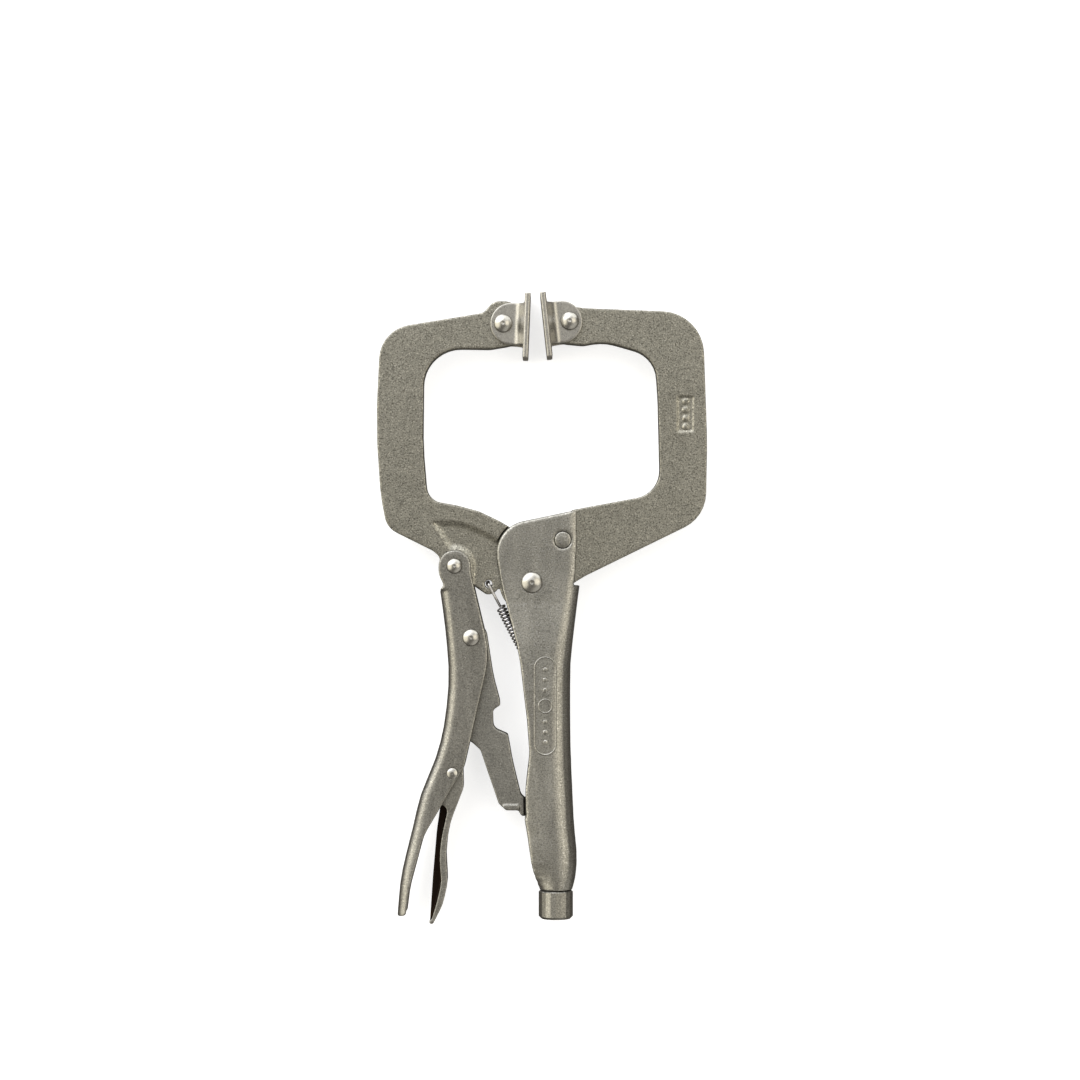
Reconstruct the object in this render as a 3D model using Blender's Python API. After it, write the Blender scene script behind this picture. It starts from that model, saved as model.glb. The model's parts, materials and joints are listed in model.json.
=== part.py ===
"""Locking C-clamp with swivel pads, modelled as the separate pieces it is riveted from.

Every length is in millimetres until MM turns it into metres. The layout has the jaw
pivot's axis at x = y = 0 and the clamp's middle plane at z = 0, with +x towards the
fixed jaw and +y towards the pads. FRAME moves the layout so that the clamp lies flat
with its lowest point at Z = 0 and the middle of its outline at X = Y = 0.
"""
from math import acos, atan2, ceil, cos, pi, radians, sin, tan

import bmesh
import bpy
from mathutils import Matrix, Vector

MM = 0.001
GAP = 0.3
ARC_STEP = radians(11)
ROUND_SIDES = 20
BEND_STEPS = 5

# pivots in the layout
JAW_PIVOT = (0.0, 0.0)
LEVER_PIVOT = (-34.2, 7.3)
LINK_PIVOT = (-26.8, -24.3)
LINK_TOE = (8.5, -99.4)
RELEASE_PIVOT = (-35.1, -84.3)
FIXED_JAW_RIVET = (13.7, 18.8)
SPRING_HOLE = (-19.2, -0.7)
SPRING_LUG = (11.6, -60.2)
SCREW_AXIS_X = 10.6
MOVABLE_PAD = (-12.7, 114.4)
FIXED_PAD = (16.7, 115.5)
MOVABLE_PAD_TILT = radians(-2.3)
FIXED_PAD_TILT = radians(6.2)

# sheet and plate thicknesses
JAW_HALF = 4.75
ROOT_HALF = 3.55
HANDLE_WALL = 2.3
HANDLE_INNER_HALF = 3.9
GRIP_HALF = 8.3
LEVER_WALL = 2.0
LEVER_HALF = 7.1
EAR_SPINE_X = -50.0
LINK_HALF = 3.5
RELEASE_HALF = 4.7
PAD_HALF_DEPTH = 12.5
PAD_EAR_INNER = 5.15
PAD_EAR_OUTER = 7.15

# rivet shafts and the hub of the movable jaw
PIVOT_SHAFT = 3.5
LEVER_SHAFT = 2.4
LINK_SHAFT = 2.6
RELEASE_SHAFT = 1.6
PAD_SHAFT = 2.5
FIXED_JAW_SHAFT = 3.25
HUB_RADIUS = 14.5

# the pocket round the movable jaw's root and the recess for a mark on the fixed jaw
POCKET_HALF = 3.6
POCKET_SLOPE = 1.6
MARK = (64.8, 71.2, 67.0, 82.0)
MARK_DEPTH = 0.5
MARK_DOTS = 4
MARK_DOT_RADIUS = 1.05

# return spring
SPRING_OUTER = 2.0
SPRING_WIRE = 0.55
SPRING_TURNS = 27
SPRING_STEPS = 7
SPRING_SIDES = 6
HOLE_TO_COIL = 11.5
COIL_TO_LUG = 6.0

# the screw and its collar at the end of the fixed handle
SCREW_RADIUS = 4.7
COLLAR_RADIUS = 7.4
COLLAR_END_Y = -136.4
KNOB_RADIUS = 7.6
KNOB_LENGTH = 12.4
SCREW_TIP_Y = -107.4

FRAME = Vector((-4.45, 11.55, PAD_HALF_DEPTH))

NICKEL = (0.52, 0.50, 0.46)
BRIGHT = (0.68, 0.67, 0.65)


# ---------------------------------------------------------------- outlines

def arc(centre, radius, start, end, steps=None):
    """Points along an arc, from angle start to angle end in radians."""
    steps = steps or max(1, ceil(abs(end - start) / ARC_STEP))
    angles = [start + (end - start) * i / steps for i in range(steps + 1)]
    return [(centre[0] + radius * cos(a), centre[1] + radius * sin(a)) for a in angles]


def fillet(before, corner, after, radius):
    """The arc that rounds one corner of an outline."""
    back = (Vector(before) - Vector(corner)).normalized()
    ahead = (Vector(after) - Vector(corner)).normalized()
    between = acos(max(-1.0, min(1.0, back.dot(ahead))))
    if radius == 0 or between > pi - 0.01:
        return [tuple(corner)]
    middle = Vector(corner) + (back + ahead).normalized() * radius / sin(between / 2)
    first = Vector(corner) + back * radius / tan(between / 2)
    turn = pi - between
    if back.x * ahead.y - back.y * ahead.x > 0:
        turn = -turn
    start = atan2(first.y - middle.y, first.x - middle.x)
    return arc(middle, radius, start, start + turn)


def rounded(corners):
    """A closed outline from corners given as (x, y, radius)."""
    points = []
    for i, (x, y, radius) in enumerate(corners):
        before = corners[i - 1][:2]
        after = corners[(i + 1) % len(corners)][:2]
        points += fillet(before, (x, y), after, radius)
    return points


def sharp(points):
    """Points of an outline as corners with no rounding."""
    return [(x, y, 0) for x, y in points]


def span_at(stations, y):
    """The index of the first of the two stations, given in falling y, that y lies between."""
    return next((k for k in range(len(stations) - 1) if stations[k + 1][0] <= y), len(stations) - 2)


def straight_value(stations, y):
    """The value at y on straight lines through stations given as (y, value) in falling y."""
    i = span_at(stations, y)
    y0, v0 = stations[i]
    y1, v1 = stations[i + 1]
    t = max(0.0, min(1.0, (y - y0) / (y1 - y0)))
    return v0 + (v1 - v0) * t


def smooth_value(stations, y):
    """The value at y on a smooth curve through stations given as (y, value) in falling y."""
    i = span_at(stations, y)
    y0, v0 = stations[i]
    y1, v1 = stations[i + 1]
    before = stations[max(i - 1, 0)]
    after = stations[min(i + 2, len(stations) - 1)]
    slope0 = (v1 - before[1]) / (y1 - before[0])
    slope1 = (after[1] - v0) / (after[0] - y0)
    t = (y - y0) / (y1 - y0)
    step = y1 - y0
    return ((2 * t**3 - 3 * t**2 + 1) * v0 + (t**3 - 2 * t**2 + t) * step * slope0
            + (3 * t**2 - 2 * t**3) * v1 + (t**3 - t**2) * step * slope1)


# ---------------------------------------------------------------- solids

def clear_scene():
    for thing in list(bpy.data.objects):
        bpy.data.objects.remove(thing, do_unlink=True)


def object_from(name, bm):
    """A mesh object from a bmesh in millimetres, with its faces pointing out."""
    bmesh.ops.recalc_face_normals(bm, faces=bm.faces)
    bmesh.ops.scale(bm, vec=(MM, MM, MM), verts=bm.verts)
    mesh = bpy.data.meshes.new(name)
    bm.to_mesh(mesh)
    bm.free()
    thing = bpy.data.objects.new(name, mesh)
    bpy.context.collection.objects.link(thing)
    return thing


def prism(name, outline, low, high, turn=Matrix()):
    """An outline in x and y extruded along z, then turned."""
    bm = bmesh.new()
    face = bm.faces.new([bm.verts.new((x, y, low)) for x, y in outline])
    swept = bmesh.ops.extrude_face_region(bm, geom=[face])["geom"]
    moved = [part for part in swept if isinstance(part, bmesh.types.BMVert)]
    bmesh.ops.translate(bm, vec=(0, 0, high - low), verts=moved)
    bmesh.ops.transform(bm, matrix=turn, verts=bm.verts)
    return object_from(name, bm)


def grown(outline, distance):
    """A closed outline with each corner moved outwards, so that its sides move by the distance."""
    points = [Vector(p) for p in outline]
    area = sum(a.x * b.y - b.x * a.y for a, b in zip(points, points[1:] + points[:1]))
    side = 1 if area > 0 else -1
    moved = []
    for i, corner in enumerate(points):
        back = (corner - points[i - 1]).normalized()
        ahead = (points[(i + 1) % len(points)] - corner).normalized()
        middle = (back + ahead).normalized()
        out = Vector((middle.y, -middle.x)) * side
        moved.append(tuple(corner + out * distance / middle.dot(ahead)))
    return moved


def tapered(name, outline, floor, top, slope):
    """A cutter with the outline at its floor, whose sides slope outwards all the way to its top."""
    bm = bmesh.new()
    lower = [bm.verts.new((x, y, floor)) for x, y in outline]
    upper = [bm.verts.new((x, y, top)) for x, y in grown(outline, abs(top - floor) * slope)]
    bm.faces.new(lower[::-1])
    bm.faces.new(upper)
    for i in range(len(lower)):
        j = (i + 1) % len(lower)
        bm.faces.new((lower[i], lower[j], upper[j]))
        bm.faces.new((lower[i], upper[j], upper[i]))
    return object_from(name, bm)


def box(name, low, high):
    """A box from its lowest to its highest corner."""
    outline = [(low[0], low[1]), (high[0], low[1]), (high[0], high[1]), (low[0], high[1])]
    return prism(name, outline, low[2], high[2])


def turned(name, profile, centre, turn=Matrix(), sides=ROUND_SIDES):
    """A solid of revolution about z from (radius, z) points that start and end on the axis."""
    bm = bmesh.new()
    rings = []
    for radius, z in profile:
        if radius == 0:
            rings.append([bm.verts.new((0, 0, z))])
        else:
            rings.append([bm.verts.new((*p, z)) for p in arc((0, 0), radius, 0, 2 * pi, sides)[:-1]])
    for lower, upper in zip(rings, rings[1:]):
        for i in range(sides):
            quad = [lower[i % len(lower)], lower[(i + 1) % len(lower)],
                    upper[(i + 1) % len(upper)], upper[i % len(upper)]]
            bm.faces.new(list(dict.fromkeys(quad)))
    bmesh.ops.transform(bm, matrix=Matrix.Translation((*centre, 0)) @ turn, verts=bm.verts)
    return object_from(name, bm)


def cylinder(name, centre, radius, low, high, turn=Matrix()):
    """A plain cylinder along z, then turned about its centre."""
    return turned(name, [(0, low), (radius, low), (radius, high), (0, high)], centre, turn)


def loft(name, sections):
    """A closed skin over sections that are loops of the same number of points."""
    bm = bmesh.new()
    rings = [[bm.verts.new(point) for point in section] for section in sections]
    count = len(rings[0])
    for one, other in zip(rings, rings[1:]):
        for i in range(count):
            j = (i + 1) % count
            bm.faces.new((one[i], one[j], other[j], other[i]))
    for end in (rings[0], rings[-1]):
        half = count // 2
        for i in range(half - 1):
            bm.faces.new((end[i], end[i + 1], end[count - 2 - i], end[count - 1 - i]))
    return object_from(name, bm)


def combine(thing, tool, operation):
    """Changes a solid by another one, which is used up."""
    change = thing.modifiers.new("shape", "BOOLEAN")
    change.object = tool
    change.operation = operation
    change.solver = "EXACT"
    shape = bpy.data.meshes.new_from_object(thing.evaluated_get(bpy.context.evaluated_depsgraph_get()))
    thing.modifiers.clear()
    thing.data = shape
    shape.name = thing.name
    bpy.data.objects.remove(tool, do_unlink=True)
    return thing


def cut(thing, tool):
    return combine(thing, tool, "DIFFERENCE")


def join(thing, tool):
    return combine(thing, tool, "UNION")


def keep_inside(thing, tool):
    return combine(thing, tool, "INTERSECT")


def drill(thing, centre, radius, reach=20):
    """A round hole along z."""
    return cut(thing, cylinder("hole", centre, radius, -reach, reach))


def steel(name, colour, roughness):
    material = bpy.data.materials.new(name)
    material.use_nodes = True
    shader = material.node_tree.nodes["Principled BSDF"]
    shader.inputs["Base Color"].default_value = (*colour, 1)
    shader.inputs["Metallic"].default_value = 1.0
    shader.inputs["Roughness"].default_value = roughness
    return material


def finish(thing, pivot, colour=NICKEL, roughness=0.4):
    """Moves a piece into the frame with its origin on its pivot, and gives it its steel."""
    origin = Vector((*pivot, 0)) * MM
    thing.data.transform(Matrix.Translation(-origin))
    thing.location = origin + FRAME * MM
    thing.data.materials.clear()
    thing.data.materials.append(steel(thing.name, colour, roughness))
    thing.data.shade_smooth()
    thing.data.set_sharp_from_angle(angle=radians(28))
    return thing


# ---------------------------------------------------------------- jaws

def fixed_jaw():
    """The right-hand arm, whose tang is thinned to go between the handle's walls."""
    arm_bottom = (23.6, 2.8, 4)
    handle_edge = (17.6, -0.9, 0)
    tip = [(22.7, 104.9, 6), (8.5, 106.2, 7.8), (8.5, 123.2, 7.5), (24.0, 121.3, 6)]
    outside = [(75.6, 119.3, 19), (77.6, 62, 150), (76.9, 28.9, 17), arm_bottom, handle_edge]
    inside = [(17.6, 32.0, 0), (56.9, 39.3, 12.4), (55.9, 80.9, 90), (54.6, 100.0, 13.5), (32.0, 106.5, 22)]
    arm = prism("fixed_jaw", rounded(tip + outside + inside), -JAW_HALF, JAW_HALF)
    hub_side = arc(JAW_PIVOT, HUB_RADIUS + 0.8, radians(-3.5), radians(86))
    tang_outline = [(18.5, -0.9), *hub_side, (-2.0, 25.6), (-0.5, 27.2), (18.5, 31.6)]
    join(arm, prism("tang", tang_outline, -ROOT_HALF, ROOT_HALF))
    drill(arm, FIXED_JAW_RIVET, FIXED_JAW_SHAFT + GAP)
    drill(arm, FIXED_PAD, PAD_SHAFT + GAP)
    left, right, bottom, top = MARK
    floor = JAW_HALF - MARK_DEPTH
    mark = tapered("mark", [(left, bottom), (right, bottom), (right, top), (left, top)], floor, JAW_HALF + 0.2, 1.0)
    for i in range(MARK_DOTS):
        middle = ((left + right) / 2, bottom + (top - bottom) * (i + 0.5) / MARK_DOTS)
        cut(mark, cylinder("dot", middle, MARK_DOT_RADIUS, floor - 1, JAW_HALF + 1))
    cut(arm, mark)
    return finish(arm, JAW_PIVOT)


def movable_jaw():
    """The left-hand arm, with its thinner root, spring lobe and hub."""
    tip = [(-21.3, 119.3, 5), (-17.0, 124.6, 6), (-4.2, 124.2, 8), (-4.2, 105.6, 8), (-18.6, 103.2, 8)]
    inside = [(-47.8, 103.7, 16.5), (-48.2, 60.0, 90), (-46.2, 36.3, 7.5), (-23.0, 32.3, 55), (-6.8, 22.6, 9)]
    hub = [(-3.2, HUB_RADIUS, 2)] + sharp(arc(JAW_PIVOT, HUB_RADIUS, radians(88), radians(-172)))
    lobe = sharp(arc(SPRING_HOLE, 4.7, radians(-30), radians(-105))) + [(-26.0, -1.4, 8)]
    ear = [(-29.5, 0.6, 3), (-40.6, 0.6, 6), (-40.8, 11.4, 3)]
    outside = [(-43.9, 14.0, 3), (-64.2, 24.1, 9.5), (-67.0, 39.0, 55), (-69.0, 69.8, 150), (-67.0, 111.8, 15.5)]
    jaw = prism("movable_jaw", rounded(tip + inside + hub + lobe + ear + outside), -JAW_HALF, JAW_HALF)
    ear_edge = arc(LEVER_PIVOT, 9.2, radians(-10), radians(98))
    pocket = [(-41.2, 25.2), (-34.8, 25.2), (-29.0, 24.1), (-22.4, 21.2), (-17.5, 18.5), (-12.5, 15.0), (-4.0, 8.5),
              (4.0, 26.0), (30.0, 20.0), (30.0, -30.0), (-27.6, -30.0), *ear_edge]
    for side in (1, -1):
        low, high = sorted((side * ROOT_HALF, side * (JAW_HALF + 1)))
        cut(jaw, tapered("pocket", pocket, side * POCKET_HALF, side * (JAW_HALF + 0.2), POCKET_SLOPE))
        cut(jaw, prism("under_wall", handle_front(2 * GAP), low, high))
    drill(jaw, JAW_PIVOT, PIVOT_SHAFT + GAP)
    drill(jaw, LEVER_PIVOT, LEVER_SHAFT + GAP)
    drill(jaw, SPRING_HOLE, 1.75)
    drill(jaw, MOVABLE_PAD, PAD_SHAFT + GAP)
    return finish(jaw, JAW_PIVOT)


# ---------------------------------------------------------------- folded channels

def channel_section(spine, edge, half, bend, wall, y, wall_steps=1, ring=0.0, bow=0.0):
    """One section of a folded sheet at height y, as a loop of points.

    The spine is on the +x side of the edge, or on its -x side when spine < edge. The walls
    bow inwards by bow at the edge. As ring goes from 0 to 1 the section rolls up into a
    split tube round the screw's axis.
    """
    side = 1 if spine > edge else -1
    loops = []
    for inset in (0.0, wall):
        radius = max(bend - inset, 0.4)
        depth = half - inset
        turn_x = side * (spine - side * (inset + radius))
        start = side * edge
        shares = [i / wall_steps for i in range(wall_steps)]
        lower = [(start + (turn_x - start) * t, -depth + bow * (1 - t)**2) for t in shares]
        corner = arc((turn_x, -depth + radius), radius, -pi / 2, 0, BEND_STEPS)
        half_loop = lower + corner
        flat = half_loop + [(x, -z) for x, z in reversed(half_loop)]
        tube_radius = COLLAR_RADIUS - inset * (COLLAR_RADIUS - SCREW_RADIUS - GAP) / wall
        tube = arc((SCREW_AXIS_X, 0), tube_radius, radians(-173), radians(173), len(flat) - 1)
        loops.append([(a + (c - a) * ring, b + (d - b) * ring) for (a, b), (c, d) in zip(flat, tube)])
    loop = loops[0] + loops[1][::-1]
    return [(side * x, y, z) for x, z in loop]


def handle_front(grow):
    """The outline of the handle's walls, made larger by grow on its open side."""
    corners = [(30, 34.2, 0), (-16.6, 24.4, 14.5), (-15.4, 9.5, 25), (-12.9, -3.4, 40), (-5.7, -31.4, 60),
               (-2.2, -60.7, 40), (-1.1, -75.3, 20), (-2.9, -91.4, 15), (-2.7, -104.5, 0), (-14, -106, 0),
               (-14, -150, 0), (30, -150, 0)]
    return rounded([(x - grow, y + grow, r + grow if r else 0) for x, y, r in corners])


def fixed_handle():
    """The folded handle, trimmed round its top and rolled round the screw at its end."""
    spine = [(34, 22.7), (18, 22.9), (5, 22.4), (-3.5, 20.9), (-25.7, 18.2), (-36.3, 17.2), (-71, 17.2),
             (-91.4, 18.0), (-107.8, 18.8), (-120, 20.0), (-137, 20.4)]
    edge = [(34, -24), (-18, -16), (-36, -8), (-60, -5), (-94, -5), (-104, -3.4), (-112, -2.0), (-120, -1.0),
            (-137, 0.0)]
    inner = HANDLE_INNER_HALF + HANDLE_WALL
    half = [(34, inner), (5, inner), (-9, inner + 0.3), (-27, inner + 1.4), (-48, GRIP_HALF), (-137, GRIP_HALF)]
    bend = [(34, 6.0), (-9, 6.0), (-27, 7.3), (-48, GRIP_HALF), (-137, GRIP_HALF)]
    bow = [(34, 0), (-52, 0), (-84, 1.5), (-110, 1.5), (-128, 0), (-137, 0)]
    ring = [(34, 0), (-117, 0), (-124.2, 0.1), (-130, 0.34), (-134, 0.74), (-135.4, 0.93), (COLLAR_END_Y, 1)]
    heights = [34, 18, 5, -3.5, -9, -18, -27, -36, -48, -60, -72, -82, -94, -104, -112, -118,
               -124.2, -128, -131, -134, -135.4, COLLAR_END_Y]
    sections = [channel_section(smooth_value(spine, y), straight_value(edge, y), straight_value(half, y),
                                straight_value(bend, y), HANDLE_WALL, y, 4, straight_value(ring, y),
                                straight_value(bow, y)) for y in heights]
    handle = loft("fixed_handle", sections)
    keep_inside(handle, prism("front", handle_front(0), -20, 20))
    cut(handle, box("jaw_slot", (17.2, -1.3, -JAW_HALF - GAP), (30, 45, JAW_HALF + GAP)))
    drill(handle, JAW_PIVOT, PIVOT_SHAFT + GAP)
    drill(handle, FIXED_JAW_RIVET, FIXED_JAW_SHAFT + GAP)
    lug = prism("lug", rounded([(9.3, -62.5, 2), (9.3, -57.9, 2), (16.0, -57.0, 0), (16.0, -63.6, 0)]), -1.0, 1.0)
    drill(lug, SPRING_LUG, 1.1)
    join(handle, lug)
    return finish(handle, JAW_PIVOT)


def lever_handle():
    """The curved lever, a channel open towards the fixed handle, with two ears at its top."""
    spine = [(-3.4, -40.7), (-19, -38.6), (-36.8, -37.0), (-45.6, -37.0), (-63.4, -39.0),
             (-77.6, -42.6), (-94.0, -49.2), (-108.7, -52.8), (-121.1, -55.9), (-131.8, -58.1), (-149, -59.6)]
    half = [(15, LEVER_HALF), (-90, LEVER_HALF), (-125, LEVER_HALF + 1.2), (-149, LEVER_HALF + 1.6)]
    heights = [15, -2.6, -3.4, -12, -20, -28, -37, -46, -55, -64, -71, -78, -86, -94, -101, -109, -115, -121, -127,
               -133, -141, -149]
    sections = [channel_section(smooth_value(spine, y) if y < -3 else EAR_SPINE_X, -8.0,
                                straight_value(half, y), 4.6, LEVER_WALL, y) for y in heights]
    lever = loft("lever_handle", sections)
    x, y = LEVER_PIVOT
    side = rounded([
        (x + 7, y + 7, 6.99), (x - 7, y + 7, 6.99), (x - 7.0, y - 3.5, 9), (-38.9, -1.2, 1.2), (-40.7, -3.4, 0.3),
        (-60, -3.6, 0), (-70, -140, 0), (-59.6, -147.6, 1.6), (-55.6, -147.0, 1.6), (-54.2, -136, 30),
        (-47.8, -112.0, 25), (-29.8, -81.5, 5), (-18.4, -31.5, 38), (-26.7, 3.2, 8)])
    keep_inside(lever, prism("side", side, -20, 20))
    drill(lever, LEVER_PIVOT, LEVER_SHAFT + GAP)
    drill(lever, LINK_PIVOT, LINK_SHAFT + GAP)
    drill(lever, RELEASE_PIVOT, RELEASE_SHAFT + GAP)
    return finish(lever, LEVER_PIVOT)


# ---------------------------------------------------------------- toggle and release

def toggle_link():
    """The link from the lever to the screw's tip, with its half-round notch and its toe."""
    x, y = LINK_PIVOT
    outline = rounded([
        (x + 6.2, y + 6.2, 6.19), (x - 6.2, y + 6.2, 6.19), (-32.6, -40, 30), (-29.6, -69.2, 3), (-26.4, -71.0, 0.8),
        (-22.8, -74.2, 3), (-19.7, -83.4, 40), (-14.6, -98.3, 3.5), (-11.0, -101.0, 2), (-6.0, -101.0, 0.8),
        (-4.6, -103.6, 1.5), (LINK_TOE[0] + 3.5, -102.9, 3.4), (LINK_TOE[0] + 3.5, -95.9, 3.4), (-1.6, -95.9, 1.0),
        (-4.6, -95.0, 4), (-8.4, -79.4, 60), (-10.6, -67.2, 1.2), (-17.0, -64.4, 3.5), (-17.3, -56.6, 2.5),
        (-14.0, -54.4, 0.6), (-14.2, -51.9, 2), (-17.0, -41.5, 40)])
    link = prism("toggle_link", outline, -LINK_HALF, LINK_HALF)
    for side in (1, -1):
        low, high = sorted((side * 2.6, side * (LINK_HALF + 1)))
        cut(link, box("toe_side", (-3.4, -110, low), (20, -90, high)))
    lip = prism("lip", rounded([(-14.0, -98.6, 0.8), (-5.6, -98.6, 0.8), (-5.6, -101.0, 0.8), (-11.4, -101.0, 1.4)]),
                -LINK_HALF - 0.5, LINK_HALF + 0.5)
    join(link, lip)
    drill(link, LINK_PIVOT, LINK_SHAFT + GAP)
    return finish(link, LINK_PIVOT)


def release_lever():
    """The trigger: a solid nose round its pivot, and a tail of plate and finger flange."""
    x, y = RELEASE_PIVOT
    outline = rounded([
        (-32.6, -73.0, 2.0), (-30.4, -82.4, 5), (-30.2, -91.0, 8), (-36.4, -107.0, 40), (-38.4, -120.0, 50),
        (-37.0, -131.5, 25), (-39.4, -142.6, 20), (-43.9, -151.5, 1.1), (-45.4, -150.8, 0.8), (-44.1, -131.0, 60),
        (-42.3, -110.0, 40), (-40.4, -97.0, 8), (-39.6, -88.0, 4), (-38.8, -80.0, 4), (-36.8, -73.4, 2.0)])
    lever = prism("release_lever", outline, -RELEASE_HALF, RELEASE_HALF)
    hollow = rounded([
        (-60, -98.5, 0), (-36.8, -98.5, 3), (-39.8, -112.0, 40), (-41.2, -123.0, 40), (-39.9, -132.0, 15),
        (-41.9, -141.0, 20), (-44.3, -149.0, 1), (-60, -160.0, 0)])
    cut(lever, prism("hollow", hollow, -RELEASE_HALF + 1.6, RELEASE_HALF + 1))
    drill(lever, RELEASE_PIVOT, RELEASE_SHAFT + GAP)
    return finish(lever, RELEASE_PIVOT)


# ---------------------------------------------------------------- screw

def adjusting_screw():
    """The threaded shank, which runs in the handle's rolled end."""
    along_y = Matrix.Rotation(pi / 2, 4, "X")
    chamfer = 1.2
    length = SCREW_TIP_Y - COLLAR_END_Y + 7.0
    profile = [(0, 0), (SCREW_RADIUS - chamfer, 0), (SCREW_RADIUS, chamfer), (SCREW_RADIUS, length), (0, length)]
    shank = turned("adjusting_screw", profile, (0, 0), along_y)
    shank.data.transform(Matrix.Translation(Vector((SCREW_AXIS_X, SCREW_TIP_Y, 0)) * MM))
    return finish(shank, (SCREW_AXIS_X, SCREW_TIP_Y), BRIGHT, 0.3)


def screw_knob():
    """The screw's head, bored for the shank, with a hexagon socket in its end."""
    along_y = Matrix.Rotation(pi / 2, 4, "X")
    top = COLLAR_END_Y - 0.35
    bore = SCREW_RADIUS + GAP
    profile = [(0, 7.2), (bore, 7.2), (bore, 0), (KNOB_RADIUS - 0.5, 0), (KNOB_RADIUS, 0.5),
               (KNOB_RADIUS, KNOB_LENGTH - 1.1), (KNOB_RADIUS - 1.1, KNOB_LENGTH), (0, KNOB_LENGTH)]
    knob = turned("screw_knob", profile, (0, 0), along_y)
    hexagon = prism("socket", arc((0, 0), 3.2, 0, 2 * pi, 6)[:-1], KNOB_LENGTH - 4.0, KNOB_LENGTH + 1, along_y)
    cut(knob, hexagon)
    knob.data.transform(Matrix.Translation(Vector((SCREW_AXIS_X, top, 0)) * MM))
    return finish(knob, (SCREW_AXIS_X, top), NICKEL, 0.35)


# ---------------------------------------------------------------- swivel pads

def swivel_pad(name, rivet, side, tilt):
    """A face plate whose two ears fold back over the jaw's tip; side is +1 when it faces +x."""
    half = [(-8.0, PAD_EAR_INNER, 0), (7.0, PAD_EAR_INNER, 1.5), (9.2, 8.9, 0.6)]
    back = [(9.6, PAD_HALF_DEPTH, 0.8), (6.3, PAD_EAR_OUTER, 3), (-8.0, PAD_EAR_OUTER, 0)]
    face = [(11.7, PAD_HALF_DEPTH, 0.8)]
    mirrored = [(x, -z, r) for x, z, r in half[::-1]]
    mirrored_back = [(x, -z, r) for x, z, r in back[::-1]]
    section = rounded(half + mirrored + mirrored_back + [(11.7, -PAD_HALF_DEPTH, 0.8)] + face + back)
    stand_up = Matrix.Rotation(pi / 2, 4, "X")
    pad = prism(name, section, -13.6, 15.0, stand_up)
    outline = rounded([(13, 14, 0), (9.15, 14, 0), (9.15, 9.2, 0), (-5.6, 9.2, 9.19), (-5.6, -9.2, 9.19),
                       (9.15, -9.2, 0), (9.15, -16, 0), (13, -16, 0)])
    keep_inside(pad, prism("ears", outline, -20, 20))
    drill(pad, (0, 0), PAD_SHAFT + GAP)
    mirror = Matrix.Scale(side, 4, (1, 0, 0))
    pad.data.transform(Matrix.Rotation(tilt, 4, "Z") @ mirror)
    if side < 0:
        pad.data.flip_normals()
    pad.data.transform(Matrix.Translation(Vector((*rivet, 0)) * MM))
    return finish(pad, rivet, BRIGHT, 0.28)


# ---------------------------------------------------------------- rivets and spring

def domed_rivet(name, centre, pivot, shaft, reach, head, dome):
    """A rivet along z with a domed head at each end, outside walls that reach to +-reach."""
    seat = reach + GAP
    ball = (head * head + dome * dome) / (2 * dome)
    top = [(ball * sin(a), seat + dome - ball * (1 - cos(a)))
           for a in [acos((ball - dome) / ball) * i / 3 for i in range(3, 0, -1)]]
    upper = [(shaft, seat)] + top + [(0, seat + dome)]
    profile = [(r, -z) for r, z in reversed(upper)] + upper
    rivet = turned(name, profile, centre)
    return finish(rivet, pivot, BRIGHT, 0.25)


def flush_rivet(name, centre, pivot, radius, reach):
    """A rivet whose ends stand only a little out of the walls."""
    profile = [(0, -reach - 0.5), (radius - 0.4, -reach - 0.5), (radius, -reach - 0.1),
               (radius, reach + 0.1), (radius - 0.4, reach + 0.5), (0, reach + 0.5)]
    return finish(turned(name, profile, centre), pivot, NICKEL, 0.35)


def wire(name, path, radius, sides):
    """A round wire along a path of 3-D points, capped at both ends."""
    bm = bmesh.new()
    ahead = [(path[min(i + 1, len(path) - 1)] - path[max(i - 1, 0)]).normalized() for i in range(len(path))]
    across = ahead[0].orthogonal().normalized()
    rings = []
    for point, along in zip(path, ahead):
        across = (across - along * across.dot(along)).normalized()
        third = along.cross(across)
        angles = [2 * pi * k / sides for k in range(sides)]
        rings.append([bm.verts.new(point + (across * cos(a) + third * sin(a)) * radius) for a in angles])
    for one, other in zip(rings, rings[1:]):
        for i in range(sides):
            j = (i + 1) % sides
            bm.faces.new((one[i], one[j], other[j], other[i]))
    bm.faces.new(rings[0][::-1])
    bm.faces.new(rings[-1])
    return object_from(name, bm)


def return_spring():
    """The tension spring: a hook in the jaw's hole, the coil, and a hook through the lug."""
    hole = Vector((*SPRING_HOLE, 0))
    lug = Vector((*SPRING_LUG, 0))
    along = (lug - hole).normalized()
    across = Vector((-along.y, along.x, 0))
    up = Vector((0, 0, 1))
    coil_start = HOLE_TO_COIL
    coil_end = (lug - hole).length - COIL_TO_LUG
    radius = SPRING_OUTER - SPRING_WIRE
    hook_z = ROOT_HALF + SPRING_WIRE + GAP
    path = [hole + up * 0.4, hole + up * 2.2, hole + up * (hook_z - 0.5) + along * 0.25,
            hole + up * hook_z + along * 1.0, hole + up * hook_z + along * 6.8, hole + up * 2.6 + along * 9.6]
    steps = SPRING_TURNS * SPRING_STEPS
    for i in range(steps + 1):
        angle = 2 * pi * i / SPRING_STEPS
        path.append(hole + along * (coil_start + (coil_end - coil_start) * i / steps)
                    + up * radius * cos(angle) + across * radius * sin(angle))
    path += [lug - along * 3.6 + up * 2.4, lug - along * 1.0 + up * 2.2, lug + up * 1.8,
             lug + up * 0.9, lug - up * 0.6]
    spring = wire("return_spring", path, SPRING_WIRE, SPRING_SIDES)
    return finish(spring, SPRING_LUG, BRIGHT, 0.25)


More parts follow.
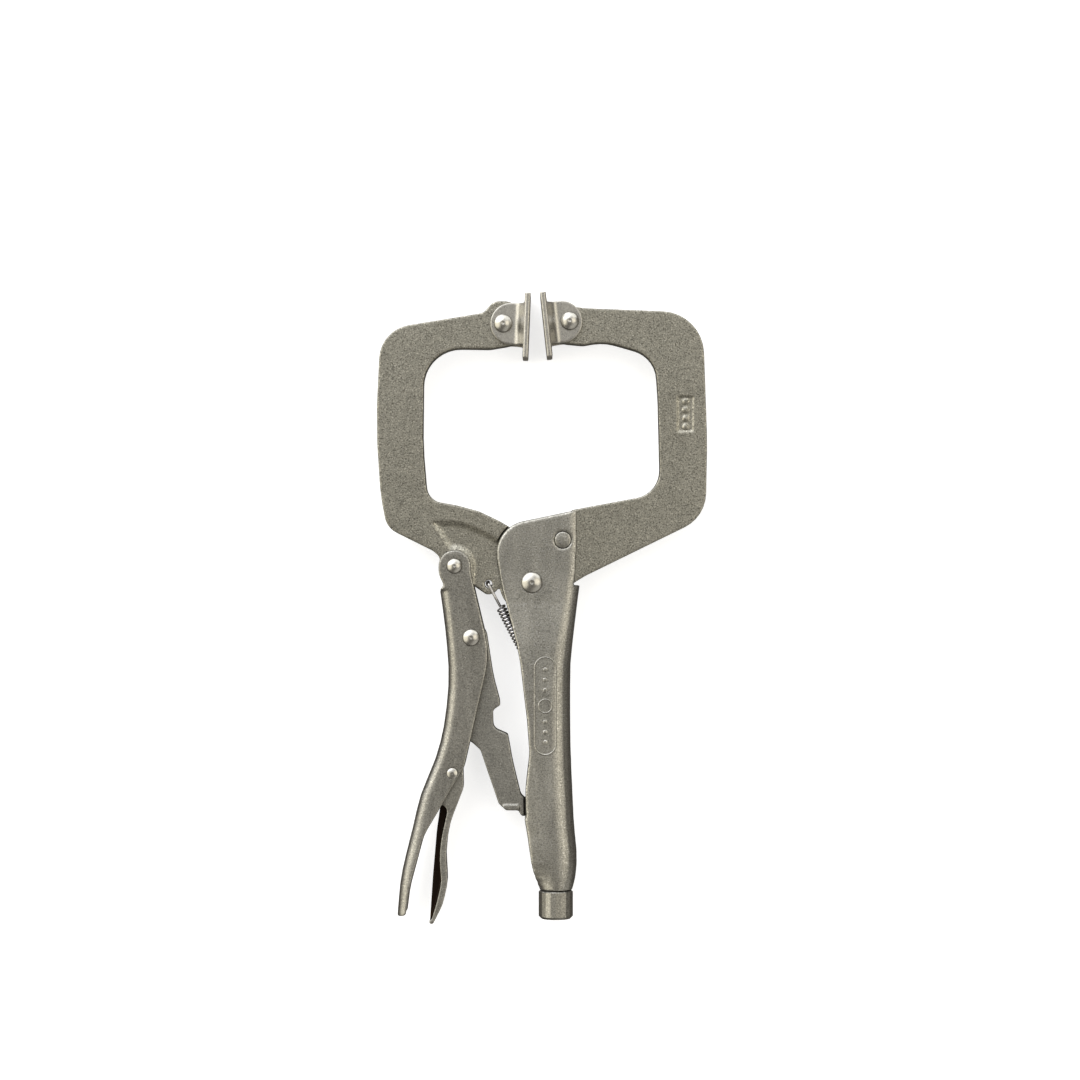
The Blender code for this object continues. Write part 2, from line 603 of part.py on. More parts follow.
def build():
    clear_scene()
    fixed_handle()
    fixed_jaw()
    movable_jaw()
    lever_handle()
    toggle_link()
    release_lever()
    adjusting_screw()
    screw_knob()
    swivel_pad("movable_pad", MOVABLE_PAD, 1, MOVABLE_PAD_TILT)
    swivel_pad("fixed_pad", FIXED_PAD, -1, FIXED_PAD_TILT)
    wall_half = HANDLE_INNER_HALF + HANDLE_WALL
    domed_rivet("jaw_pivot_rivet", JAW_PIVOT, JAW_PIVOT, PIVOT_SHAFT, wall_half, 4.7, 2.2)
    flush_rivet("fixed_jaw_rivet", FIXED_JAW_RIVET, JAW_PIVOT, FIXED_JAW_SHAFT, wall_half)
    domed_rivet("lever_pivot_rivet", LEVER_PIVOT, LEVER_PIVOT, LEVER_SHAFT, LEVER_HALF, 3.4, 1.9)
    domed_rivet("link_pivot_rivet", LINK_PIVOT, LINK_PIVOT, LINK_SHAFT, LEVER_HALF, 3.8, 2.0)
    domed_rivet("release_pivot_rivet", RELEASE_PIVOT, RELEASE_PIVOT, RELEASE_SHAFT, LEVER_HALF, 2.45, 0.8)
    domed_rivet("movable_pad_rivet", MOVABLE_PAD, MOVABLE_PAD, PAD_SHAFT, PAD_EAR_OUTER, 4.1, 2.4)
    domed_rivet("fixed_pad_rivet", FIXED_PAD, FIXED_PAD, PAD_SHAFT, PAD_EAR_OUTER, 4.1, 2.4)
    return_spring()


build()
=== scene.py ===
"""The looks of the locking C-clamp: plated steel, fine rivets, a coiled spring and studio light.

The CAD part is the fixed frame. The jaws, handles, link, release lever, pads and knob keep their
CAD nodes, and get rounded edges and a steel surface. The rivets, the spring and the screw's shank
are replaced by finer pieces, and the relief on the handle is added.
"""

import json
from math import cos, pi, radians, sin

import bmesh
import bpy
from mathutils import Matrix, Vector
from mathutils.bvhtree import BVHTree


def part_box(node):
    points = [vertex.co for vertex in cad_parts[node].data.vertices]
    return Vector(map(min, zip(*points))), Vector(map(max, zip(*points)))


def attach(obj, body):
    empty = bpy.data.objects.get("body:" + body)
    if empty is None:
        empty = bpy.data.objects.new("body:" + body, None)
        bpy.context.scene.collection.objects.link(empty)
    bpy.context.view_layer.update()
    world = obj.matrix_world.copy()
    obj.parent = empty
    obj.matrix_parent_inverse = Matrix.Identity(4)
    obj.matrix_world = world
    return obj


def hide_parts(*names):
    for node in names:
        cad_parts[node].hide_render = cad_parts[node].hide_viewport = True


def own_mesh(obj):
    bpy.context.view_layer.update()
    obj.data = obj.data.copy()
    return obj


MM = 0.001
UP = Vector((0, 0, 1))

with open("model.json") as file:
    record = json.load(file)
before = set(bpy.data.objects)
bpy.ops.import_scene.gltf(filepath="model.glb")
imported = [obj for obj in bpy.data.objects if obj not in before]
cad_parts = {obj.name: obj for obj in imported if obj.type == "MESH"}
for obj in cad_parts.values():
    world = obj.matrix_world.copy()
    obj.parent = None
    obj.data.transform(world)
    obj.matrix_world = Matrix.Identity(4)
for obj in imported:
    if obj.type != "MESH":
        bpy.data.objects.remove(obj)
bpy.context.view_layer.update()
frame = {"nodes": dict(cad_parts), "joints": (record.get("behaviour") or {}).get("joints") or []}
nodes = frame["nodes"]
joints = {joint["name"]: joint for joint in frame["joints"]}


def joint_at(name):
    """Where a hinge's axis crosses the clamp's middle plane."""
    return Vector(joints[name]["pos_m"])


# ---------------------------------------------------------------- steel surfaces

# scales of the noises in the steel, in cells to a metre
MOTTLE_SCALE = 70
WEAR_SCALE = 220
CAST_SCALE = 1500
FINE_SCALE = 1550
SPECK_SCALE = 1700
CAST_DEPTH = 0.00015
SPECK_BRIGHTNESS = 1.9
SPECK_POLISH = 0.10
STREAK_MOTTLE = (1, 0.3, 1)
STREAK_WEAR = (1, 0.25, 1)
STREAK_DARKENING = 0.16
MIRROR_TINT = (0.3, 0.3, 0.3, 1)

# the hollow in the release lever's tail, where shade is painted into the colour: where it starts below the
# pivot, half its depth, the steepest facing to the right that still counts as inside, and the near-black
# colour of that painted shade
HOLLOW_START = 13.8 * MM
HOLLOW_HALF = 3.6 * MM
HOLLOW_FACING = 0.35
PAINTED_HOLLOW_SHADE = (0.035, 0.024, 0.018, 1)


def add_node(tree, kind, inputs=None, **settings):
    """A shader node with its settings and plain input values."""
    node = tree.nodes.new(kind)
    for key, value in settings.items():
        setattr(node, key, value)
    for key, value in (inputs or {}).items():
        node.inputs[key].default_value = value
    return node


def ramp(tree, source, stops):
    """A colour ramp over a value, with stops given as (position, grey)."""
    node = add_node(tree, "ShaderNodeValToRGB")
    elements = node.color_ramp.elements
    for element, (position, grey) in zip(elements, (stops[0], stops[-1])):
        element.position = position
        element.color = (grey, grey, grey, 1)
    for position, grey in stops[1:-1]:
        elements.new(position).color = (grey, grey, grey, 1)
    tree.links.new(source, node.inputs["Fac"])
    return node.outputs["Color"]


def mixed(tree, blend_type, amount, one, other):
    """Two colours mixed by a fixed amount."""
    node = add_node(tree, "ShaderNodeMix", data_type="RGBA", blend_type=blend_type)
    node.inputs["Factor"].default_value = amount
    for socket, value in ((node.inputs[6], one), (node.inputs[7], other)):
        if isinstance(value, tuple):
            socket.default_value = (*value, 1)
        else:
            tree.links.new(value, socket)
    return node.outputs[2]


def plated_steel(name, colour, roughness, grain, sparkle, streak=0.0, upright_shade=1.0, flat=1.0, painted_recess_shade=False):
    """Plated steel: cast grain in bump, bright specks, and mottling that streak draws out along y.

    upright_shade and flat scale the colour of upright faces and of level ones, a painted shade set by which
    way a face turns. painted_recess_shade paints shade into the hollow of the release lever's tail.
    """
    material = bpy.data.materials.new(name)
    material.use_nodes = True
    tree = material.node_tree
    shader = tree.nodes["Principled BSDF"]
    shader.inputs["Metallic"].default_value = 1.0
    shader.inputs["Specular Tint"].default_value = MIRROR_TINT
    coordinates = add_node(tree, "ShaderNodeTexCoord")
    place = coordinates.outputs["Object"]

    def noise(scale, detail, rough, stretch=None):
        node = add_node(tree, "ShaderNodeTexNoise", {"Scale": scale, "Detail": detail, "Roughness": rough})
        source = place
        if stretch:
            mapping = add_node(tree, "ShaderNodeMapping", {"Scale": stretch})
            tree.links.new(place, mapping.inputs["Vector"])
            source = mapping.outputs["Vector"]
        tree.links.new(source, node.inputs["Vector"])
        return node.outputs["Fac"]

    def parts(vector):
        node = add_node(tree, "ShaderNodeSeparateXYZ")
        tree.links.new(vector, node.inputs[0])
        return node.outputs

    def arithmetic(operation, one, other=0.0):
        node = add_node(tree, "ShaderNodeMath", operation=operation)
        for socket, value in zip(node.inputs, (one, other)):
            if isinstance(value, (int, float)):
                socket.default_value = value
            else:
                tree.links.new(value, socket)
        return node.outputs[0]

    patches = noise(MOTTLE_SCALE, 4, 0.6, STREAK_MOTTLE if streak else None)
    mottle = ramp(tree, patches, [(0.32, 0.90 - STREAK_DARKENING * streak), (0.66, 1.0)])
    darkest = 1.0 - 1.15 * sparkle
    fine = ramp(tree, noise(FINE_SCALE, 2, 0.6), [(0.32, darkest), (0.5, 0.86), (0.64, 1.0)])
    colour_out = mixed(tree, "MULTIPLY", 1.0, mottle, fine)
    colour_out = mixed(tree, "MULTIPLY", 1.0, colour_out, colour)
    specks = ramp(tree, noise(SPECK_SCALE, 1, 0.4), [(0.59, 0.0), (0.68, 1.0)])
    speck_mix = add_node(tree, "ShaderNodeMix", data_type="RGBA")
    tree.links.new(arithmetic("MULTIPLY", specks, sparkle), speck_mix.inputs["Factor"])
    tree.links.new(colour_out, speck_mix.inputs[6])
    bright = [min(1.0, SPECK_BRIGHTNESS * share) for share in colour]
    speck_mix.inputs[7].default_value = (*bright, 1)
    # painted shade: the colour is darker on upright faces and, where flat is below 1, on level faces, by
    # which way a face turns
    facing = parts(coordinates.outputs["Normal"])
    upright = arithmetic("ABSOLUTE", facing["Z"])
    edges = ramp(tree, upright, [(0.50, upright_shade), (0.70, (upright_shade + flat) / 2), (0.86, flat)])
    colour_out = mixed(tree, "MULTIPLY", 1.0, speck_mix.outputs[2], edges)
    # painted shade: faces in the hollow of the release lever's tail that don't face right are coloured near
    # black, as if in deep shadow
    if painted_recess_shade:
        spot = parts(place)
        pivot = joint_at("release_pivot")
        inside = arithmetic("LESS_THAN", spot["Y"], pivot.y - HOLLOW_START)
        below_top = arithmetic("LESS_THAN", spot["Z"], pivot.z + HOLLOW_HALF)
        above_bottom = arithmetic("GREATER_THAN", spot["Z"], pivot.z - HOLLOW_HALF)
        facing_left = arithmetic("LESS_THAN", facing["X"], HOLLOW_FACING)
        for test in (below_top, above_bottom, facing_left):
            inside = arithmetic("MULTIPLY", inside, test)
        dark = add_node(tree, "ShaderNodeMix", data_type="RGBA")
        tree.links.new(inside, dark.inputs["Factor"])
        tree.links.new(colour_out, dark.inputs[6])
        dark.inputs[7].default_value = PAINTED_HOLLOW_SHADE
        colour_out = dark.outputs[2]
    tree.links.new(colour_out, shader.inputs["Base Color"])

    rubbed = noise(WEAR_SCALE, 5, 0.7, STREAK_WEAR if streak else None)
    wear = ramp(tree, rubbed, [(0.3, roughness - 0.05), (0.7, roughness + 0.07)])
    polish = arithmetic("MULTIPLY", specks, SPECK_POLISH)
    tree.links.new(arithmetic("SUBTRACT", wear, polish), shader.inputs["Roughness"])

    bump = add_node(tree, "ShaderNodeBump", {"Strength": grain, "Distance": CAST_DEPTH})
    tree.links.new(noise(CAST_SCALE, 2, 0.55), bump.inputs["Height"])
    tree.links.new(bump.outputs["Normal"], shader.inputs["Normal"])
    return material


# the last settings of each steel are painted shade: darker upright faces, and on the pads darker level
# faces
CAST_NICKEL = plated_steel(
    "cast_nickel", (0.48, 0.467, 0.412), 0.40, grain=0.6, sparkle=0.6, upright_shade=0.65)
SHEET_NICKEL = plated_steel(
    "sheet_nickel", (0.62, 0.61, 0.565), 0.37, grain=0.5, sparkle=0.45, streak=1.0, upright_shade=0.65)
LEVER_NICKEL = plated_steel(
    "lever_nickel", (0.51, 0.50, 0.465), 0.37, grain=0.5, sparkle=0.42, streak=1.0, upright_shade=0.7)
# this steel has shade painted into the hollow of the release lever's tail
RELEASE_NICKEL = plated_steel(
    "release_nickel", (0.54, 0.53, 0.49), 0.36, grain=0.4, sparkle=0.35, upright_shade=0.7, painted_recess_shade=True)
LINK_NICKEL = plated_steel(
    "link_nickel", (0.43, 0.425, 0.40), 0.42, grain=0.5, sparkle=0.4, upright_shade=0.7)
PAD_NICKEL = plated_steel(
    "pad_nickel", (0.92, 0.90, 0.85), 0.34, grain=0.18, sparkle=0.2, flat=0.72)
RIVET_NICKEL = plated_steel(
    "rivet_nickel", (0.74, 0.725, 0.69), 0.24, grain=0.08, sparkle=0.10, upright_shade=0.7)
SPRING_WIRE_STEEL = plated_steel(
    "spring_wire_steel", (0.96, 0.96, 1.0), 0.28, grain=0.05, sparkle=0.0, streak=1.0)
SCREW_STEEL = plated_steel(
    "screw_steel", (0.60, 0.59, 0.56), 0.28, grain=0.2, sparkle=0.15)


def wear_steel(thing, material):
    """Gives a piece one steel all over."""
    thing.data.materials.clear()
    thing.data.materials.append(material)


def soften(thing, cell, passes):
    """Rounds every edge a little: a fine even mesh with cells in millimetres, then smoothing."""
    even = thing.modifiers.new("even_mesh", "REMESH")
    even.mode = "VOXEL"
    even.voxel_size = cell * MM
    even.use_smooth_shade = True
    smooth = thing.modifiers.new("smooth", "SMOOTH")
    smooth.factor = 0.5
    smooth.iterations = passes


def round_edges(thing, width):
    """Rounds sharp edges by a width in millimetres, with flat faces keeping their shading."""
    bevel = thing.modifiers.new("round_edges", "BEVEL")
    bevel.width = width * MM
    bevel.segments = 3
    bevel.limit_method = "ANGLE"
    bevel.angle_limit = radians(28)
    shade = thing.modifiers.new("shade", "WEIGHTED_NORMAL")
    shade.weight = 60


# the plates and channels: surface, cell of the even mesh in mm, and passes of smoothing
PLATES = {
    "fixed_jaw": (CAST_NICKEL, 0.42, 6),
    "movable_jaw": (CAST_NICKEL, 0.42, 8),
    "fixed_handle": (SHEET_NICKEL, 0.48, 12),
    "lever_handle": (LEVER_NICKEL, 0.38, 10),
    "toggle_link": (LINK_NICKEL, 0.35, 4),
    "release_lever": (RELEASE_NICKEL, 0.30, 4),
    "movable_pad": (PAD_NICKEL, 0.30, 3),
    "fixed_pad": (PAD_NICKEL, 0.30, 3),
}
for node_name, (steel, cell, passes) in PLATES.items():
    wear_steel(nodes[node_name], steel)
    soften(nodes[node_name], cell, passes)

KNOB_ROUNDING = 0.3
wear_steel(nodes["screw_knob"], LEVER_NICKEL)
round_edges(nodes["screw_knob"], KNOB_ROUNDING)


# ---------------------------------------------------------------- new pieces

def mesh_object(name, bm, material, smooth=40):
    """A shaded object from a bmesh in metres."""
    bmesh.ops.recalc_face_normals(bm, faces=bm.faces)
    mesh = bpy.data.meshes.new(name)
    bm.to_mesh(mesh)
    bm.free()
    thing = bpy.data.objects.new(name, mesh)
    bpy.context.scene.collection.objects.link(thing)
    mesh.shade_smooth()
    mesh.set_sharp_from_angle(angle=radians(smooth))
    wear_steel(thing, material)
    return thing


def turned(name, profile, centre, material, sides=64):
    """A solid of revolution about z from (radius, z) points in metres that start and end on the axis."""
    bm = bmesh.new()
    rings = []
    for radius, z in profile:
        if radius == 0:
            rings.append([bm.verts.new((0, 0, z))])
        else:
            angles = [2 * pi * k / sides for k in range(sides)]
            rings.append([bm.verts.new((radius * cos(a), radius * sin(a), z)) for a in angles])
    for lower, upper in zip(rings, rings[1:]):
        for i in range(sides):
            quad = [lower[i % len(lower)], lower[(i + 1) % len(lower)],
                    upper[(i + 1) % len(upper)], upper[i % len(upper)]]
            bm.faces.new(list(dict.fromkeys(quad)))
    bmesh.ops.transform(bm, matrix=Matrix.Translation(centre), verts=bm.verts)
    return mesh_object(name, bm, material)


DOME_STEPS = 12
DOME_REACH = 1.02
DOME_POWER = 2.2
DOME_SHOULDER = 0.965
DIMPLE_SHARE = 0.22


def head_profile(shaft, radius, seat, top):
    """A rivet head from its shaft out to its rim, over its dome and into a shallow dimple."""
    height = top - seat
    rim = [(shaft, seat), (radius - 0.15 * MM, seat), (radius, seat + 0.1 * height),
           (radius - 0.06 * MM, seat + 0.22 * height)]
    dimple = DIMPLE_SHARE * radius
    shoulder = radius * DOME_SHOULDER
    reach = radius * DOME_REACH
    dome = []
    for i in range(1, DOME_STEPS + 1):
        r = shoulder + (dimple - shoulder) * (i / DOME_STEPS)
        level = (1 - (r / reach) ** DOME_POWER) / (1 - (dimple / reach) ** DOME_POWER)
        dome.append((r, seat + height * (0.24 + 0.76 * level)))
    hollow = [(dimple * 0.7, top - 0.02 * height), (dimple * 0.35, top - 0.05 * height),
              (0, top - 0.06 * height)]
    return rim + dome + hollow


def fine_rivet(node, shaft, seat):
    """A rivet with a domed and dimpled head at each end, in place of the plain CAD one."""
    low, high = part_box(node)
    centre = (low + high) / 2
    radius = (high.x - low.x) / 2
    upper = head_profile(shaft * MM, radius, seat * MM, high.z - centre.z)
    profile = [(r, -z) for r, z in reversed(upper)] + upper
    rivet = turned(node + "_fine", profile, centre, RIVET_NICKEL)
    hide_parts(node)
    return rivet


# the domed rivets: the body each rides on, and the radius of its shaft and height of its seat in mm
RIVETS = {
    "jaw_pivot_rivet": ("handle", 3.5, 6.5),
    "lever_pivot_rivet": ("lever", 2.4, 7.4),
    "link_pivot_rivet": ("lever", 2.6, 7.4),
    "release_pivot_rivet": ("lever", 1.6, 7.4),
    "movable_pad_rivet": ("jaw", 2.5, 7.45),
    "fixed_pad_rivet": ("handle", 2.5, 7.45),
}
for node_name, (body, shaft, seat) in RIVETS.items():
    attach(fine_rivet(node_name, shaft, seat), body)


CROWN_STEPS = 10
CROWN_SPREAD = 0.3 * MM


def low_rivet(node, shaft, seat):
    """The low crowned rivet that holds the fixed jaw, in place of the plain CAD one."""
    low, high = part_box(node)
    centre = (low + high) / 2
    top = high.z - centre.z
    radius = (high.x - low.x) / 2 + CROWN_SPREAD
    rise = top - seat * MM
    turns = [pi / 2 * k / CROWN_STEPS for k in range(CROWN_STEPS)]
    crown = [(radius * cos(a), seat * MM + rise * sin(a)) for a in turns]
    upper = [(shaft * MM, seat * MM)] + crown + [(0, top)]
    profile = [(r, -z) for r, z in reversed(upper)] + upper
    rivet = turned(node + "_fine", profile, centre, SHEET_NICKEL)
    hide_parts(node)
    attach(rivet, "handle")


LOW_RIVET_SHAFT = 3.1
LOW_RIVET_SEAT = 6.25
low_rivet("fixed_jaw_rivet", LOW_RIVET_SHAFT, LOW_RIVET_SEAT)


def wire(name, path, radius, sides, material):
    """A round wire along a path of points, capped at both ends."""
    bm = bmesh.new()
    ahead = [(path[min(i + 1, len(path) - 1)] - path[max(i - 1, 0)]).normalized() for i in range(len(path))]
    across = ahead[0].orthogonal().normalized()
    rings = []
    for point, along in zip(path, ahead):
        across = (across - along * across.dot(along)).normalized()
        third = along.cross(across)
        angles = [2 * pi * k / sides for k in range(sides)]
        rings.append([bm.verts.new(point + (across * cos(a) + third * sin(a)) * radius) for a in angles])
    for one, other in zip(rings, rings[1:]):
        for i in range(sides):
            j = (i + 1) % sides
            bm.faces.new((one[i], one[j], other[j], other[i]))
    bm.faces.new(rings[0][::-1])
    bm.faces.new(rings[-1])
    return mesh_object(name, bm, material, 60)


def smooth_path(points, steps):
    """A smooth curve through points, with the given number of steps between neighbours."""
    path = []
    # a cubic between each pair, with its slopes taken from the points on either side
    for i in range(len(points) - 1):
        before = points[max(i - 1, 0)]
        start = points[i]
        end = points[i + 1]
        after = points[min(i + 2, len(points) - 1)]
        for k in range(steps):
            t = k / steps
            slope = (end - before) * t
            bend = (2 * before - 5 * start + 4 * end - after) * t * t
            twist = (3 * start - before - 3 * end + after) * t ** 3
            path.append(0.5 * ((2 * start) + slope + bend + twist))
    path.append(points[-1])
    return path


SPRING_HOLE = joint_at("jaw_pivot") + Vector((-19.2, -0.7, 0)) * MM
SPRING_LUG = joint_at("jaw_pivot") + Vector((11.6, -60.2, 0)) * MM
SPRING_TURNS = 32
SPRING_WIRE = 0.58 * MM
SPRING_RADIUS = 1.75 * MM
TURN_STEPS = 18
COIL_START = 11.5
COIL_END_GAP = 6.0
HOOK_STEPS = 5
WIRE_SIDES = 10


def return_spring():
    """The spring with its two hooks, from the jaw's hole down to the lug in the handle."""
    along = (SPRING_LUG - SPRING_HOLE).normalized()
    across = Vector((-along.y, along.x, 0))
    length = (SPRING_LUG - SPRING_HOLE).length

    def at(forward, up, side=0.0):
        """A point in millimetres along the spring from the jaw's hole, up from it and across."""
        return SPRING_HOLE + (along * forward + UP * up + across * side) * MM

    first = COIL_START
    last = length / MM - COIL_END_GAP
    curl = [at(1.5, -4.3, 0.8), at(0.5, -4.4, -0.8), at(-0.9, -4.3, -0.5), at(-0.8, -3.0, 0.3),
            at(-0.2, -1.2, 0.1)]
    through = [at(0, 0.6), at(0, 2.4), at(0.15, 3.9), at(1.0, 4.25)]
    over = [at(4.0, 4.25), at(7.2, 4.1), at(9.6, 2.9), at(first, SPRING_RADIUS / MM)]
    hook = smooth_path(curl + through + over, HOOK_STEPS)[:-1]
    coil = []
    for i in range(SPRING_TURNS * TURN_STEPS + 1):
        angle = 2 * pi * i / TURN_STEPS
        forward = first + (last - first) * i / (SPRING_TURNS * TURN_STEPS)
        coil.append(at(forward, SPRING_RADIUS / MM * cos(angle), SPRING_RADIUS / MM * sin(angle)))
    length_mm = length / MM
    down = [coil[-1], at(length_mm - 3.6, 2.4), at(length_mm - 1.0, 2.2), at(length_mm, 1.6),
            at(length_mm, 0.6), at(length_mm, -0.5)]
    tail = smooth_path(down, HOOK_STEPS)[1:]
    spring = wire("return_spring_coil", hook + coil + tail, SPRING_WIRE, WIRE_SIDES, SPRING_WIRE_STEEL)
    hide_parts("return_spring")
    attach(spring, "handle")
    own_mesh(spring)


return_spring()


PROBE_HEIGHT = 40


def on_handle(spots):
    """The points on the handle's upper wall over (x, y) spots in millimetres from the jaw pivot."""
    handle = nodes["fixed_handle"]
    surface = BVHTree.FromObject(handle, bpy.context.evaluated_depsgraph_get())
    inverse = handle.matrix_world.inverted()
    pivot = joint_at("jaw_pivot")
    points = []
    for x, y in spots:
        above = inverse @ (pivot + Vector((x, y, PROBE_HEIGHT)) * MM)
        points.append(handle.matrix_world @ surface.ray_cast(above, Vector((0, 0, -1)))[0])
    return points


def raised_line(name, spots, half_width, height):
    """A soft ridge pressed up out of the handle's wall along (x, y) spots."""
    path = [point + UP * (height - half_width) * MM for point in on_handle(spots)]
    ridge = wire(name, path, half_width * MM, WIRE_SIDES, SHEET_NICKEL)
    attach(ridge, "handle")


PIP_STEPS = 6
PIP_ROOT = -0.4 * MM


def raised_dot(name, spot, radius, height):
    """A low round pip pressed up out of the handle's wall, with its root inside the wall."""
    turns = [pi / 2 * k / PIP_STEPS for k in range(PIP_STEPS)]
    dome = [(radius * MM * cos(a), height * MM * sin(a)) for a in turns]
    profile = [(0, PIP_ROOT), (radius * MM, PIP_ROOT)] + dome + [(0, height * MM)]
    pip = turned(name, profile, on_handle([spot])[0], SHEET_NICKEL, sides=24)
    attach(pip, "handle")


END_STEPS = 14
SIDE_STEPS = 12
RING_SIDES = 24


def stadium(left, right, bottom, top):
    """A closed line round a stadium shape, with its ends at the top and bottom."""
    radius = (right - left) / 2
    middle = (left + right) / 2
    turn = [pi * k / END_STEPS for k in range(END_STEPS + 1)]
    over = [(middle + radius * cos(a), top - radius + radius * sin(a)) for a in turn]
    under = [(middle - radius * cos(a), bottom + radius - radius * sin(a)) for a in turn]
    rows = range(1, SIDE_STEPS)
    down = [(left, top - radius + (bottom - top + 2 * radius) * k / SIDE_STEPS) for k in rows]
    up = [(right, bottom + radius + (top - bottom - 2 * radius) * k / SIDE_STEPS) for k in rows]
    return over + down + under + up + over[:2]


def ring_line(x, y, radius):
    """A closed round line, with its first points again at the end."""
    turns = [2 * pi * k / RING_SIDES for k in range(RING_SIDES + 2)]
    return [(x + radius * cos(a), y + radius * sin(a)) for a in turns]


# the relief in millimetres from the jaw pivot: its middle line, ridge half width and heights
RELIEF_X = 5.9
RIDGE_HALF = 0.42
RIDGE_HEIGHT = 0.28
PIP_RADIUS = 1.1
PIP_HEIGHT = 0.32
PIP_ROWS = (-38.5, -43.0, -47.5, -61.5, -66.0, -70.5)


def handle_relief():
    """A plain pressed relief: a stadium line with one ring and a row of round pips inside it."""
    raised_line("relief_rim", stadium(1.2, 10.6, -76.0, -33.0), RIDGE_HALF, RIDGE_HEIGHT)
    raised_line("relief_ring", ring_line(RELIEF_X, -54.5, 3.0), RIDGE_HALF, RIDGE_HEIGHT)
    for number, y in enumerate(PIP_ROWS):
        raised_dot("relief_dot_" + str(number + 1), (RELIEF_X, y), PIP_RADIUS, PIP_HEIGHT)


handle_relief()


PITCH = 1.5875 * MM
THREAD_DEPTH = 0.62 * MM
THREAD_SIDES = 40
ROWS_A_TURN = 8
CHAMFER_LENGTH = 1.2 * MM
CHAMFER_DEPTH = 1.1 * MM


def threaded_shank():
    """The screw's shank with its helical thread and a chamfered tip."""
    low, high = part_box("adjusting_screw")
    centre = (low + high) / 2
    radius = (high.x - low.x) / 2
    length = high.y - low.y
    sides = THREAD_SIDES
    rows = int(length / (PITCH / ROWS_A_TURN))
    bm = bmesh.new()
    rings = []
    for row in range(rows + 1):
        y = high.y - length * row / rows
        ring = []
        for k in range(sides):
            angle = 2 * pi * k / sides
            phase = ((high.y - y) / PITCH + k / sides) % 1.0
            depth = THREAD_DEPTH * abs(2 * phase - 1)
            ends = min(high.y - y, CHAMFER_LENGTH) / CHAMFER_LENGTH
            r = radius - depth - CHAMFER_DEPTH * (1 - ends)
            ring.append(bm.verts.new((centre.x + r * cos(angle), y, centre.z + r * sin(angle))))
        rings.append(ring)
    for one, other in zip(rings, rings[1:]):
        for i in range(sides):
            j = (i + 1) % sides
            bm.faces.new((one[i], one[j], other[j], other[i]))
    bm.faces.new(rings[0][::-1])
    bm.faces.new(rings[-1])
    shank = mesh_object("screw_thread", bm, SCREW_STEEL, 50)
    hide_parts("adjusting_screw")
    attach(shank, "screw")


threaded_shank()


# ---------------------------------------------------------------- studio

# soft panes of light in the sky: direction, cosines of their rim and core, and colour
PANES = [
    ((-0.55, 0.80, 0.26), 0.56, 0.94, (1.70, 1.70, 1.70)),
    ((-0.15, 0.62, 0.77), 0.76, 0.99, (0.74, 0.74, 0.73)),
    ((0.55, 0.78, 0.30), 0.86, 0.97, (1.20, 1.20, 1.14)),
    ((0.62, 0.10, 0.78), 0.86, 0.99, (1.25, 1.17, 0.98)),
    ((-0.87, -0.05, 0.50), 0.72, 0.98, (1.15, 1.08, 0.88)),
    ((0.00, 0.15, 0.99), 0.84, 0.99, (0.03, 0.03, 0.03)),
    ((0.60, -0.76, 0.16), 0.62, 0.95, (0.34, 0.33, 0.30)),
    ((0.00, 0.00, -1.00), 0.05, 0.50, (0.08, 0.075, 0.07)),
]
SURROUND = (0.180, 0.168, 0.148)
FLOOR_HALF = 3.0
FLOOR_LEVEL = -0.0002
FLOOR_GREY = 0.50
FLOOR_ROUGHNESS = 0.9
FLOOR_GLOW = 0.70
LIGHT_AIM = Vector((0, 0.02, 0))
WHITE = (1.0, 1.0, 1.0)


def studio_floor():
    """A plain pale floor under the clamp."""
    bm = bmesh.new()
    half = FLOOR_HALF
    corners = ((-half, -half), (half, -half), (half, half), (-half, half))
    bm.faces.new([bm.verts.new((x, y, FLOOR_LEVEL)) for x, y in corners])
    mesh = bpy.data.meshes.new("floor")
    bm.to_mesh(mesh)
    bm.free()
    floor = bpy.data.objects.new("floor", mesh)
    bpy.context.scene.collection.objects.link(floor)
    material = bpy.data.materials.new("floor_paper")
    material.use_nodes = True
    shader = material.node_tree.nodes["Principled BSDF"]
    shader.inputs["Base Color"].default_value = (FLOOR_GREY, FLOOR_GREY, FLOOR_GREY, 1)
    shader.inputs["Roughness"].default_value = FLOOR_ROUGHNESS
    shader.inputs["Emission Color"].default_value = (1, 1, 1, 1)
    shader.inputs["Emission Strength"].default_value = FLOOR_GLOW
    mesh.materials.append(material)
    floor.visible_glossy = False


def soft_light(name, place, size, power):
    """A soft white light that faces the clamp and isn't mirrored in the steel."""
    lamp = bpy.data.lights.new(name, "AREA")
    lamp.shape = "RECTANGLE"
    lamp.size = size[0]
    lamp.size_y = size[1]
    lamp.energy = power
    lamp.color = WHITE
    thing = bpy.data.objects.new(name, lamp)
    thing.location = place
    thing.rotation_euler = (LIGHT_AIM - Vector(place)).to_track_quat("-Z", "Y").to_euler()
    thing.visible_glossy = False
    bpy.context.scene.collection.objects.link(thing)


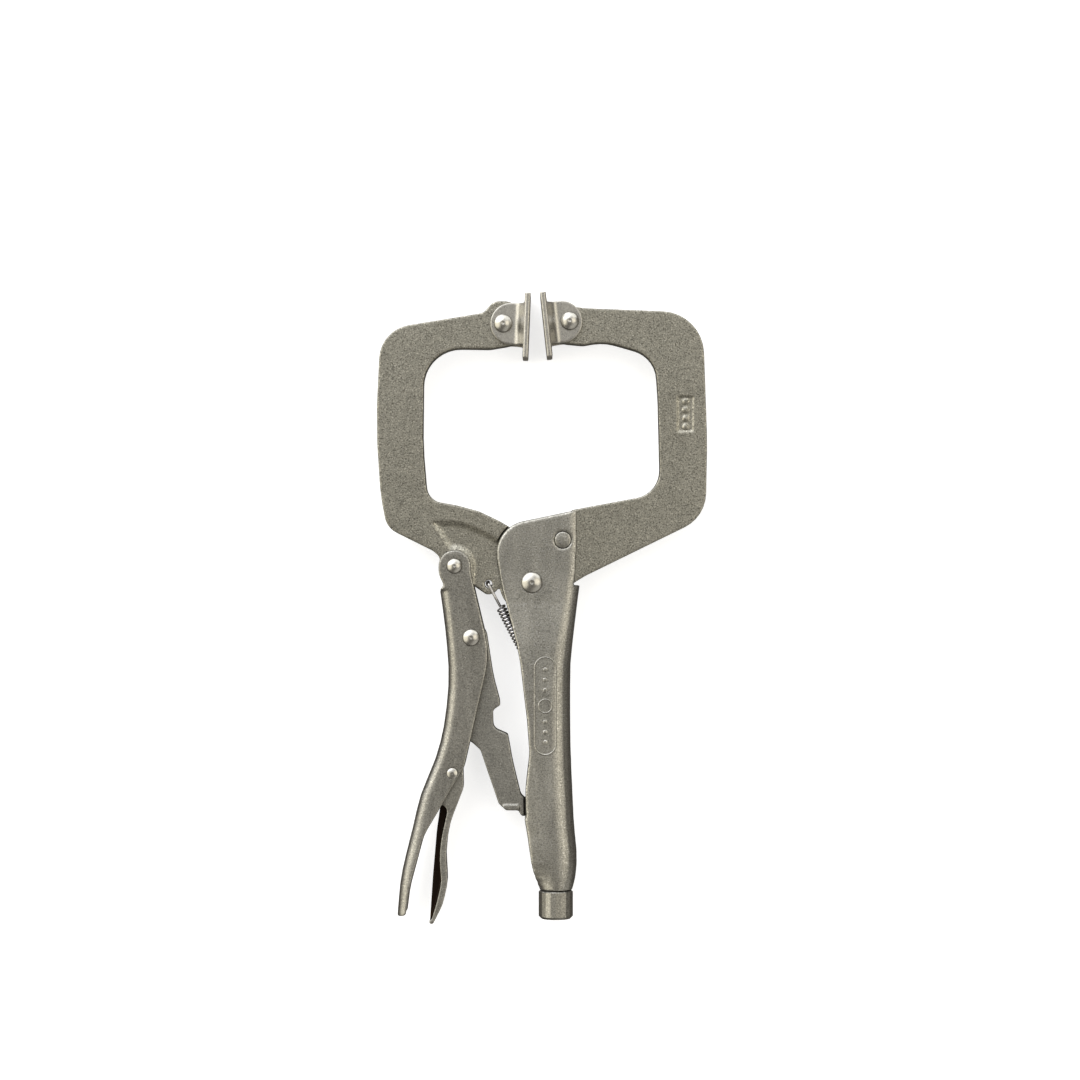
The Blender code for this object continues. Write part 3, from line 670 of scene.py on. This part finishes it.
VIEW_WIDTH = 0.4795
CAMERA_DISTANCE = 1.2
SENSOR_WIDTH = 36
VIEW_MIDDLE = Vector((3.596, 18.737, 0)) * MM


def camera():
    """A camera straight above, framed as a square picture of about 0.48 m."""
    middle = joint_at("jaw_pivot") + VIEW_MIDDLE
    lens = bpy.data.cameras.new("camera")
    lens.sensor_width = SENSOR_WIDTH
    lens.lens = lens.sensor_width * CAMERA_DISTANCE / VIEW_WIDTH
    thing = bpy.data.objects.new("camera", lens)
    thing.location = middle + UP * CAMERA_DISTANCE
    bpy.context.scene.collection.objects.link(thing)
    bpy.context.scene.camera = thing


def surroundings():
    """A dim warm studio with soft panes of light round it."""
    world = bpy.data.worlds.new("studio")
    world.use_nodes = True
    tree = world.node_tree
    direction = add_node(tree, "ShaderNodeTexCoord").outputs["Generated"]
    total = SURROUND
    for aim, rim, core, colour in PANES:
        towards = {1: Vector(aim).normalized()}
        nearness = add_node(tree, "ShaderNodeVectorMath", towards, operation="DOT_PRODUCT")
        tree.links.new(direction, nearness.inputs[0])
        fade = {1: rim, 2: core}
        share = add_node(tree, "ShaderNodeMapRange", fade, interpolation_type="SMOOTHSTEP")
        tree.links.new(nearness.outputs["Value"], share.inputs["Value"])
        glow = add_node(tree, "ShaderNodeVectorMath", {0: colour}, operation="SCALE")
        tree.links.new(share.outputs["Result"], glow.inputs["Scale"])
        both = add_node(tree, "ShaderNodeVectorMath", operation="ADD")
        tree.links.new(glow.outputs[0], both.inputs[0])
        if isinstance(total, tuple):
            both.inputs[1].default_value = total
        else:
            tree.links.new(total, both.inputs[1])
        total = both.outputs[0]
    tree.links.new(total, tree.nodes["Background"].inputs["Color"])
    bpy.context.scene.world = world


studio_floor()
surroundings()
soft_light("key", (-0.70, 1.30, 0.75), (1.2, 0.8), 9)
soft_light("floor_fill_left", (-1.2, 0.6, 1.6), (2.0, 2.0), 16)
soft_light("floor_fill_right", (1.2, 0.4, 1.6), (2.0, 2.0), 16)
camera()
bpy.context.scene.view_settings.view_transform = "Standard"
